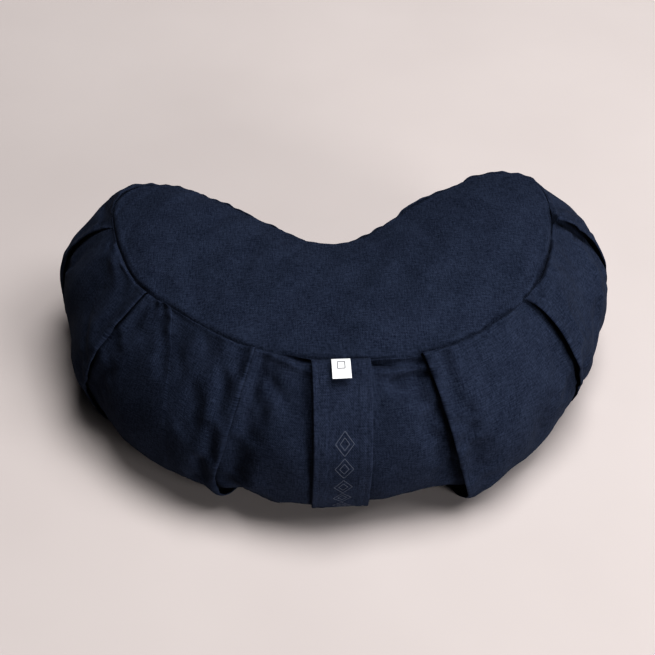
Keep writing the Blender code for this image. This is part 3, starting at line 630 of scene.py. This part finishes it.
def top_filled():
    """The top panel's cloth under its filling, sewn all round."""
    grid = crescent(0, *SIM_TOP_GRID)
    u, v = (2 * spread(count) - 1 for count in SIM_TOP_GRID)
    crown = TOP_CROWN * (1 - u[:, None] ** 6) * (1 - v[None] ** 2)
    held = np.zeros(SIM_TOP_GRID)
    held[[0, -1]] = held[:, [0, -1]] = 1.0
    up = np.zeros(SIM_TOP_GRID + (3,))
    up[..., 2] = 1.0
    return filled(np.concatenate((grid, (TOP_SEAM + crown)[..., None]), -1), up, held, False)


def top_surface():
    """Points of the top panel: crowned, a little uneven, and drawn down along its seam."""
    along, across = 230, 84
    grid = crescent(0, along, across)
    distance, s = from_edge(grid, 0)
    distance = np.maximum(distance - 0.0003, 0)
    u = 2 * spread(along)[:, None] - 1
    v = 2 * spread(across)[None, :] - 1
    x, y = grid[..., 0], grid[..., 1]
    height = TOP_SEAM + TOP_CROWN * (1 - u**6) * (1 - v * v)
    inner = smooth(distance / 0.02)
    uneven = 0.0009 * ripples(x, y, 0.12, 0.1, 21) + 0.0004 * ripples(x, y, 0.045, 0.05, 22)
    height = height + inner * uneven
    i, j = np.meshgrid(even(along), even(across), indexing="ij")
    height = height + 0.4 * read_grid(top_filled(), i, j, False)
    return np.concatenate((grid, (height + seam_profile(distance, s))[..., None]), -1)


SLOT_HALF = 0.0062
SLOT_CLOSED = 0.00025
EDGE_LIFT_WIDTH = 0.022
VALLEY_HEIGHT, VALLEY_SIDE, VALLEY_END = 0.0072, 0.0278, 0.016
HORN_NEAR, HORN_FAR = 0.12, 0.8


def underside_height(x, y, distance):
    """The underside: up at its edge and in a valley along the zip, which has an open slot."""
    at_edge = BASE_SEAM * np.clip(1 - distance / EDGE_LIFT_WIDTH, 0, None) ** 2
    across = (np.abs(y - ZIP_Y) - SLOT_HALF) / VALLEY_SIDE
    along = (np.abs(x) - ZIP_HALF - 0.013) / VALLEY_END
    valley = VALLEY_HEIGHT * (1 - smooth(across)) * (1 - smooth(along)) * smooth(distance / 0.015)
    return np.maximum(at_edge, valley)


def underside_grids():
    """Front and back grids of the underside, from the wall's base to the zip's slot."""
    s = np.linspace(-HALF, HALF, 2400)
    edge = wall_point(s, np.ones(len(s)))
    x, y = edge[:, 0], edge[:, 1]
    front = y < ZIP_Y
    order = np.argsort(x[front])
    low_x, low_y = x[front][order], y[front][order]
    left, right = low_x[0] + 0.0002, low_x[-1] - 0.0002
    columns = left + (right - left) * spread(150)
    slot = np.where(np.abs(columns) < ZIP_HALF + 0.008, SLOT_HALF, SLOT_CLOSED)
    bottom = np.stack((columns, np.interp(columns, low_x, low_y)), 1)
    v = spread(40)[None, :, None]
    front_top = np.stack((columns, ZIP_Y - slot), 1)
    front_grid = bottom[:, None] * (1 - v) + front_top[:, None] * v
    start = s[(s < 0) & (y < ZIP_Y)].min()
    stop = s[(s > 0) & (y < ZIP_Y)].max()
    rising = 40
    left_edge = wall_point(np.linspace(-round_horn(HORN_NEAR), start, rising), np.ones(rising))[:, :2]
    right_edge = wall_point(np.linspace(stop, round_horn(HORN_NEAR), rising), np.ones(rising))[:, :2]
    back_bottom = np.concatenate((left_edge, np.stack((columns, ZIP_Y + slot), 1), right_edge))
    count = len(back_bottom)
    far_s = np.linspace(2 * HALF - round_horn(HORN_FAR), round_horn(HORN_FAR), count)
    far = wall_point(far_s, np.ones(count))[:, :2]
    sides = [
        wall_point(sign * np.linspace(round_horn(HORN_NEAR), round_horn(HORN_FAR), 50), np.ones(50))[:, :2]
        for sign in (-1, 1)
    ]
    return front_grid, coons(back_bottom, far, *sides, shares=even)


def build_cover(material):
    cover = Shape()
    points, s, _, down = wall_surface()
    cover.grid(points, np.stack((s * CLOTH_STRETCH, down), -1), closed_rows=True, flip=True)
    top = top_surface()
    cover.grid(top, top[..., :2])
    for grid in underside_grids():
        distance, _ = from_edge(grid, 1)
        x, y = grid[..., 0], grid[..., 1]
        height = underside_height(x, y, distance) + 0.0003
        height += 0.0004 * smooth(distance / 0.03) * np.clip(ripples(x, y, 0.05, 0.05, 31), 0, None)
        cover.grid(np.concatenate((grid, height[..., None]), -1), grid, flip=True)
    return cover.made("cushion_cover", [material])


# ---- strap and label


def front_line(t, height):
    """Points down the middle of the front wall, a height above its cloth."""
    t = np.asarray(t, float)
    s = np.full_like(t, HANDLE_X)
    points = wall_point(s, t)
    _, normal = wall_axes(s, t)
    return points + normal * np.asarray(height)[..., None], normal


def strap_under(t):
    """How far the strap's under side stands off the wall: slack in the middle, pressed down below."""
    share = np.clip((t - HANDLE_SEWN[0]) / (HANDLE_SEWN[1] - HANDLE_SEWN[0]), 0, 1)
    slack = HANDLE_STANDOFF * np.sin(math.pi * np.minimum(share / 0.74, 1)) ** 1.1
    pressed = 0.0018 * smooth(share / 0.6) + 0.0021 * np.exp(-((share / 0.035) ** 2))
    return 0.0004 + slack - pressed


def strap_place(x, t, above):
    """Points on the strap: x across it from its middle, t down the wall, and a height above its face."""
    x, t, above = np.broadcast_arrays(np.asarray(x, float), np.asarray(t, float), np.asarray(above, float))
    wave = 0.0005 * ripples(x, t * 0.19, 0.09, 0.05, 41) + 0.00025 * ripples(x, t * 0.19, 0.03, 0.025, 42)
    points, normal = front_line(t, strap_under(t) + HANDLE_THICKNESS + above + wave * np.sin(math.pi * t))
    points = points.copy()
    sway = 0.0009 * np.sin(2 * math.pi * t + 0.6)
    points[..., 0] = HANDLE_X + STRAP_OFFSET + x + sway
    return points, normal


def strap_face(x):
    """The strap's face across: thicker where its edges are folded under, pressed down along its stitches."""
    x = np.abs(x)
    hem = 0.00035 * smooth((x - 0.0105) / 0.0015)
    stitched = -0.0003 * np.exp(-(((x - STITCH_X) / 0.0007) ** 2))
    return hem + stitched


STITCH_X = 0.0168
STITCH_LENGTH = 0.0026
STITCH_PITCH = 0.0034
STRAP_EDGE = 0.0011
LABEL_EDGE = 0.00035


def band_section(half, edge, thick, top, columns, turns):
    """A flat band across, as x and height: its under side, its two round edges, and its upper side."""
    angles = np.linspace(-math.pi / 2, math.pi / 2, turns)
    right = np.stack((half - edge + edge * np.cos(angles), top - thick / 2 + thick / 2 * np.sin(angles)), 1)
    face_x = np.linspace(-half + edge, half - edge, columns)[1:-1]
    under = np.stack((face_x, np.full(columns - 2, top - thick)), 1)
    over = np.stack((face_x[::-1], np.full(columns - 2, top)), 1)
    return np.concatenate((under, right, over, right[::-1] * (-1, 1)))


def strap_half(name, t_start, t_stop, materials, motif):
    """The strap between two places down the wall, with its rows of stitches and its embroidery."""
    strap = Shape()
    rows = np.linspace(t_start, t_stop, 110)
    half = HANDLE_HALF_WIDTH - 0.0004
    section = band_section(half, STRAP_EDGE, HANDLE_THICKNESS, 0.0, 45, 9)
    face = strap_face(np.minimum(np.abs(section[:, 0]), half - STRAP_EDGE))
    section[:, 1] += face * (section[:, 1] > -HANDLE_THICKNESS / 2)
    points, _ = strap_place(section[None, :, 0], rows[:, None], section[None, :, 1])
    length = (rows * STRAP_LENGTH)[:, None] + 0 * section[None, :, 0]
    girth = np.cumsum(np.linalg.norm(np.diff(section, axis=0, prepend=section[:1]), axis=1))
    strap.grid(points, np.stack((girth[None] + 0 * length, length), -1), closed_columns=True)
    count = int((t_stop - t_start) * STRAP_LENGTH / STITCH_PITCH)
    for x in (-STITCH_X, STITCH_X):
        for k in range(count):
            middle = t_start + (k + 0.5) * STITCH_PITCH / STRAP_LENGTH
            t = middle + np.linspace(-0.5, 0.5, 6) * STITCH_LENGTH / STRAP_LENGTH
            dip = -0.00045 + 0.0004 * np.sin(math.pi * even(6))
            path, normal = strap_place(x, t, dip)
            strap.tube(path, 0.00026, 1, sides=6, normal=normal)
    for x, t, radius in motif:
        path, normal = strap_place(x, t, -0.0001)
        strap.tube(path, radius, 2, sides=6, normal=normal, flatten=0.55)
    return strap.made(name, materials)


def diamond_chain(first, last, count, half_width):
    """Lines of a plain chain of outlined diamonds down the strap: x, t and the thread's radius."""
    lines = []
    height = (last - first) / count
    for k in range(count):
        middle = first + (k + 0.5) * height
        for scale in (0.92, 0.46):
            corners = np.array(((0, -0.5), (1, 0), (0, 0.5), (-1, 0), (0, -0.5))) * scale
            share = np.linspace(0, 4, 61)
            x = np.interp(share, range(5), corners[:, 0]) * half_width
            t = middle + np.interp(share, range(5), corners[:, 1]) * height
            lines.append((x + 0.001, t, 0.00038))
    return lines


def build_label(materials):
    """The folded label: two layers from the seam, its bottom fold lifting a little off the strap."""
    label = Shape()
    rows = np.linspace(*LABEL_RUN, 26)
    half = LABEL_HALF_WIDTH - 0.0002
    thick = LABEL_THICKNESS
    section = band_section(half, LABEL_EDGE, thick, thick, 21, 7)
    share = even(len(rows))

    def place(x, t, above):
        share = (t - LABEL_RUN[0]) / (LABEL_RUN[1] - LABEL_RUN[0])
        curl = 0.0002 + 0.0044 * share**2 + 0.0009 * share * (x / half) ** 2
        curl = curl + 0.0004 * share * (x / half)
        points, normal = front_line(t, strap_under(t) + HANDLE_THICKNESS + 0.0007 + above + curl)
        points = points.copy()
        points[..., 0] = LABEL_X + x
        return points, normal

    t = rows[:, None] + 0 * section[None, :, 0]
    x = section[None, :, 0] + 0 * t
    above = section[None, :, 1] + 0 * t
    taper = np.where(share > 0.97, 0.55, 1.0)[:, None]
    points, _ = place(x, t, thick / 2 + (above - thick / 2) * taper)
    length = share[:, None] * LABEL_LENGTH + 0 * x
    label.grid(points, np.stack((x + above, length), -1), closed_columns=True)
    for k in (0, -1):
        ring = points[k]
        middle = ring.mean(0)
        cap = np.stack((ring, np.tile(middle, (len(ring), 1))))
        label.grid(cap if k else cap[::-1], np.zeros((2, len(ring), 2)), closed_columns=True)
    mark = np.array(((-1, -1), (1, -1), (1, 1), (-1, 1)))
    middle_t = (LABEL_RUN[0] + LABEL_RUN[1]) / 2
    around = np.linspace(0, 4, 49)[:-1]
    corners = np.concatenate((mark, mark[:1]))
    x = 0.0026 * np.interp(around, range(5), corners[:, 0])
    t = middle_t + 0.023 * np.interp(around, range(5), corners[:, 1])
    path, normal = place(x, t, thick + 0.00006)
    label.tube(path, 0.00024, 1, sides=6, normal=normal, flatten=0.5, ring=True)
    return label.made("woven_label", materials)


# ---- zip

COIL_PITCH = 0.0015
COIL_MIDDLE, COIL_REACH = 0.00165, 0.00145
COIL_LEVEL, COIL_RISE, COIL_RADIUS = ZIP_Z - 0.0015, 0.0006, 0.00027
COIL_STITCH_PITCH, COIL_STITCH_LENGTH, COIL_STITCH_PLACE = 0.003, 0.0025, 0.0026


def build_coil(name, side, material):
    """One row of the zip's coil, sewn along its tape. Its turns mesh with the other row's."""
    coil = Shape()
    low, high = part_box(name)
    turns = (high.x - low.x) / COIL_PITCH
    angle = np.linspace(0, 2 * math.pi * turns, int(turns * 12))
    x = low.x + COIL_PITCH * angle / (2 * math.pi) + (0.5 * COIL_PITCH if side < 0 else 0.0)
    across = COIL_MIDDLE + COIL_REACH * np.cos(angle)
    height = COIL_LEVEL - COIL_RISE * np.sin(angle)
    path = np.stack((np.minimum(x, high.x), ZIP_Y - side * across, height), 1)
    coil.tube(path, COIL_RADIUS, sides=6, normal=(1.0, 0.0, 0.0))
    share = even(5)
    for k in range(int((high.x - low.x) / COIL_STITCH_PITCH)):
        seam = np.empty((5, 3))
        seam[:, 0] = low.x + COIL_STITCH_PITCH * k + COIL_STITCH_LENGTH * share
        seam[:, 1] = ZIP_Y - side * COIL_STITCH_PLACE
        seam[:, 2] = ZIP_Z - 0.0024 - 0.00018 * np.sin(math.pi * share)
        coil.tube(seam, 0.00016, sides=5, normal=(0, 0, -1))
    piece = coil.made(name + "_turns", [material])
    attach(piece, "cushion")
    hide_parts(name)


# ---- materials


class Look:
    """A procedural material, built from nodes."""

    def __init__(self, name):
        self.material = bpy.data.materials.new(name)
        self.material.use_nodes = True
        self.tree = self.material.node_tree
        self.shader = self.tree.nodes["Principled BSDF"]

    def node(self, kind, *inputs, **settings):
        made = self.tree.nodes.new(kind)
        for key, value in settings.items():
            setattr(made, key, value)
        for socket, value in zip(made.inputs, inputs):
            self.put(socket, value)
        return made.outputs[0]

    def put(self, socket, value):
        if isinstance(value, bpy.types.NodeSocket):
            self.tree.links.new(value, socket)
        elif value is not None:
            socket.default_value = value

    def calc(self, operation, *inputs):
        return self.node("ShaderNodeMath", *inputs, operation=operation)

    def times(self, a, b):
        return self.calc("MULTIPLY", a, b)

    def plus(self, a, b):
        return self.calc("ADD", a, b)

    def object_place(self):
        return self.tree.nodes.new("ShaderNodeTexCoord").outputs["Object"]

    def vector(self, x, y, z=0.0):
        return self.node("ShaderNodeCombineXYZ", x, y, z)

    def noise(self, vector, scale=1.0, detail=2.0):
        made = self.tree.nodes.new("ShaderNodeTexNoise")
        self.put(made.inputs["Vector"], vector)
        made.inputs["Scale"].default_value = scale
        made.inputs["Detail"].default_value = detail
        return made.outputs[0]

    def mixed(self, share, dark, light, reach=0.18):
        """From dark to light as the share rises through 0.5, and how far either side of it that takes."""
        made = self.tree.nodes.new("ShaderNodeValToRGB")
        self.put(made.inputs[0], share)
        ends = made.color_ramp.elements
        ends[0].position, ends[0].color = 0.5 - reach, (*dark, 1)
        ends[1].position, ends[1].color = 0.5 + reach, (*light, 1)
        return made.outputs[0]

    def bump(self, height, distance, strength=1.0, under=None):
        made = self.tree.nodes.new("ShaderNodeBump")
        made.inputs["Strength"].default_value = strength
        made.inputs["Distance"].default_value = distance
        self.put(made.inputs["Height"], height)
        if under is not None:
            self.put(made.inputs["Normal"], under)
        return made.outputs[0]

    def set(self, **values):
        for key, value in values.items():
            self.put(self.shader.inputs[key.replace("_", " ")], value)
        return self.material

    def flat_place(self, own_cloth):
        """x and y over the cloth in metres: from its own cloth map, or from the piece's place."""
        if own_cloth:
            place = self.node("ShaderNodeUVMap", uv_map="cloth")
            parts = self.node("ShaderNodeSeparateXYZ", place).node.outputs
            return parts[0], parts[1]
        place = self.object_place()
        parts = self.node("ShaderNodeSeparateXYZ", place).node.outputs
        return parts[0], self.plus(parts[1], self.times(parts[2], 1.13))


def cloth_look(name, dark, light, pitch=0.0008, depth=0.00022, slub=1.0, own_cloth=True, **finish):
    """Plain-woven cloth: threads over and under, uneven thread thickness, and slightly uneven colour."""
    look = Look(name)
    x, y = look.flat_place(own_cloth)
    turns = math.pi / pitch
    over = look.times(look.calc("SINE", look.times(x, turns)), look.calc("SINE", look.times(y, turns)))
    fine, long = 0.85 / pitch, 0.11 / pitch
    warp = look.noise(look.vector(look.times(x, fine), look.times(y, long)))
    weft = look.noise(look.vector(look.times(x, long), look.times(y, fine)))
    uneven = look.times(look.plus(warp, weft), 0.5)
    cloud = look.noise(look.vector(x, y), 38.0, 3.0)
    fuzz = look.noise(look.vector(x, y), 0.55 / pitch, 2.0)
    share = look.plus(look.times(uneven, 0.55), look.times(cloud, 0.15))
    share = look.plus(share, look.times(fuzz, 0.3))
    look.set(Base_Color=look.mixed(look.calc("MULTIPLY_ADD", over, 0.03, share), dark, light, 0.105))
    height = look.plus(look.times(over, 0.25), look.times(uneven, 1.6 * slub))
    height = look.plus(height, look.times(fuzz, 0.8 * slub))
    return look.set(Normal=look.bump(height, depth), **finish)


def thread_look(name, dark, light, **finish):
    """Twisted sewing thread."""
    look = Look(name)
    x, y = look.flat_place(True)
    twist = look.calc("SINE", look.plus(look.times(x, 5200.0), look.times(y, 4100.0)))
    share = look.calc("MULTIPLY_ADD", twist, 0.5, 0.5)
    look.set(Base_Color=look.mixed(share, dark, light))
    return look.set(Normal=look.bump(share, 0.00008), **finish)


def metal_look(name):
    """Cast zinc with a dull nickel finish, finely scratched and a little worn."""
    look = Look(name)
    place = look.object_place()
    parts = look.node("ShaderNodeSeparateXYZ", place).node.outputs
    along = look.vector(look.times(parts[0], 300.0), look.times(parts[1], 5200.0), parts[2])
    scratches = look.noise(along, 1.0, 3.0)
    patches = look.noise(place, 420.0, 2.0)
    look.set(Base_Color=look.mixed(patches, (0.235, 0.228, 0.22), (0.345, 0.335, 0.322)))
    look.set(Roughness=look.calc("MULTIPLY_ADD", scratches, 0.24, 0.24), Metallic=1.0)
    return look.set(Normal=look.bump(scratches, 0.00004))


def hulls_look(name):
    """Loose buckwheat hulls: small dark three-sided husks, lying every way."""
    look = Look(name)
    place = look.object_place()
    cells = look.tree.nodes.new("ShaderNodeTexVoronoi")
    look.put(cells.inputs["Vector"], place)
    cells.inputs["Scale"].default_value = 210.0
    tone = look.node("ShaderNodeSeparateXYZ", cells.outputs["Color"])
    look.set(Base_Color=look.mixed(tone, (0.045, 0.026, 0.015), (0.165, 0.1, 0.055)))
    look.set(Normal=look.bump(cells.outputs["Distance"], 0.0022, 1.0))
    return look.set(Roughness=0.62, Specular_IOR_Level=0.3)


def floor_look():
    """A pale painted floor."""
    look = Look("pale_floor")
    place = look.object_place()
    cloud = look.noise(place, 5.0, 3.0)
    look.set(Base_Color=look.mixed(cloud, (0.505, 0.466, 0.458), (0.525, 0.486, 0.478)))
    return look.set(Roughness=0.85, Specular_IOR_Level=0.15)


# ---- floor, light and camera


def area_light(name, place, target, size, power, colour):
    light = bpy.data.lights.new(name, "AREA")
    light.shape = "DISK"
    light.size = size
    light.energy = power
    light.color = colour
    lamp = bpy.data.objects.new(name, light)
    bpy.context.scene.collection.objects.link(lamp)
    lamp.location = place
    lamp.rotation_euler = (Vector(target) - lamp.location).to_track_quat("-Z", "Y").to_euler()


def build_studio():
    floor = Shape()
    across = np.linspace(-15.0, 15.0, 3)
    x, y = np.meshgrid(across, across, indexing="ij")
    floor.grid(np.stack((x, y, 0 * x), -1), np.stack((x, y), -1))
    floor.made("studio_floor", [floor_look()])
    area_light("overhead", (0.55, 0.25, 3.3), (0, 0, 0), 2.0, 88, (1.0, 0.985, 0.975))
    area_light("high_side", (1.6, -0.4, 2.3), (0, 0, 0), 1.3, 26, (1.0, 0.985, 0.975))
    area_light("low_side", (2.3, -2.8, 0.85), (0, 0, 0.06), 1.5, 80, (1.0, 0.985, 0.97))
    world = bpy.data.worlds.new("studio")
    world.use_nodes = True
    world.node_tree.nodes["Background"].inputs["Color"].default_value = (0.93, 0.95, 1.0, 1)
    world.node_tree.nodes["Background"].inputs["Strength"].default_value = 0.012
    bpy.context.scene.world = world
    bpy.context.scene.view_settings.view_transform = "Standard"
    bpy.context.scene.view_settings.look = "High Contrast"


# The camera: where it stands, how far it looks down, how far it is turned and tilted, and its lens.
CAMERA_PLACE = (-0.0714, -0.7708, 0.8226)
CAMERA_PITCH = math.radians(44.203)
CAMERA_YAW = math.radians(4.597)
CAMERA_ROLL = math.radians(1.087)
CAMERA_LENS = 75.64


def build_camera():
    data = bpy.data.cameras.new("camera")
    data.lens = CAMERA_LENS
    data.sensor_width = 36
    camera = bpy.data.objects.new("camera", data)
    bpy.context.scene.collection.objects.link(camera)
    ahead = Vector((
        math.sin(CAMERA_YAW) * math.cos(CAMERA_PITCH),
        math.cos(CAMERA_YAW) * math.cos(CAMERA_PITCH),
        -math.sin(CAMERA_PITCH),
    ))
    level = Vector((math.cos(CAMERA_YAW), -math.sin(CAMERA_YAW), 0))
    above = level.cross(ahead)
    right = math.cos(CAMERA_ROLL) * level + math.sin(CAMERA_ROLL) * above
    axes = Matrix((right, right.cross(ahead), -ahead)).transposed()
    camera.matrix_world = Matrix.Translation(CAMERA_PLACE) @ axes.to_4x4()
    bpy.context.scene.camera = camera


# ---- putting it together

NAVY = {"Roughness": 0.95, "Specular_IOR_Level": 0.05, "Sheen_Weight": 0.01, "Sheen_Roughness": 0.5}
build_studio()
build_camera()

canvas = cloth_look("navy_canvas", (0.0112, 0.0158, 0.0292), (0.0312, 0.0408, 0.0675), **NAVY)
strap_cloth = cloth_look("navy_strap", (0.013, 0.018, 0.033), (0.0356, 0.046, 0.0755), **NAVY)
thread = thread_look("navy_thread", (0.016, 0.022, 0.043), (0.026, 0.034, 0.062), Roughness=0.6)
silk = thread_look("navy_embroidery", (0.042, 0.052, 0.078), (0.085, 0.098, 0.13), Roughness=0.42)
ribbon = cloth_look(
    "label_ribbon", (0.62, 0.63, 0.645), (0.76, 0.77, 0.78), 0.00045, 0.00006, 0.5, Roughness=0.7
)
ink = thread_look("label_mark", (0.05, 0.055, 0.07), (0.09, 0.095, 0.11), Roughness=0.7)
MATT_TAPE = {"pitch": 0.0006, "depth": 0.0001, "own_cloth": False, "Roughness": 0.85}
MATT_CALICO = {"pitch": 0.0007, "depth": 0.00012, "own_cloth": False, "Roughness": 0.95}
tape = cloth_look("navy_tape", (0.01, 0.013, 0.027), (0.018, 0.023, 0.042), **MATT_TAPE)
coil = thread_look("navy_coil", (0.016, 0.02, 0.036), (0.022, 0.027, 0.046), Roughness=0.38)
calico = cloth_look("calico", (0.52, 0.47, 0.375), (0.68, 0.63, 0.53), **MATT_CALICO)
natural_tape = cloth_look("natural_tape", (0.6, 0.56, 0.48), (0.72, 0.68, 0.6), **MATT_TAPE)
metal = metal_look("nickel")

cover = build_cover(canvas)
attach(cover, "cushion")
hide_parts("top_panel", "front_wall", "back_wall", "bottom_panel_front", "bottom_panel_back")

STRAP_LOOKS = [strap_cloth, thread, silk]
JOIN = 0.53
upper = strap_half("strap_upper", HANDLE_SEWN[0], JOIN, STRAP_LOOKS, diamond_chain(0.345, 0.527, 2, 0.0072))
lower = strap_half("strap_lower", JOIN, HANDLE_SEWN[1], STRAP_LOOKS, diamond_chain(0.533, 0.806, 3, 0.0072))


def on_strap(t):
    points, _ = strap_place(0.0, np.array((t,)), 0.0)
    return tuple(points[0])


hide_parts("handle_top_end", "carry_handle")
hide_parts("handle_bottom_end")
on_strap(0.16)
on_strap(0.42)
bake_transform(upper)
on_strap(0.66)
on_strap(0.95)
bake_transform(lower)

label = build_label([ribbon, ink])
label_root, _ = front_line(np.array((LABEL_RUN[0], LABEL_RUN[0] + 0.035)), np.full(2, HANDLE_THICKNESS))
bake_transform(label)
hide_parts("label")

build_coil("zip_coil_front", 1, coil)
build_coil("zip_coil_back", -1, coil)

LOOKS = {
    "zip_tape": tape, "liner_zip_tape": natural_tape, "liner_zip_coil": natural_tape,
    "zip_top_stop": metal, "zip_bottom_stop": metal, "zip_slider": metal, "zip_pull": metal,
    "liner_zip": metal, "liner": calico, "hull_filling": hulls_look("buckwheat_hulls"),
}
for name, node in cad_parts.items():
    starts = [start for start in LOOKS if name.startswith(start)]
    if starts:
        node.data.materials.clear()
        node.data.materials.append(LOOKS[max(starts, key=len)])
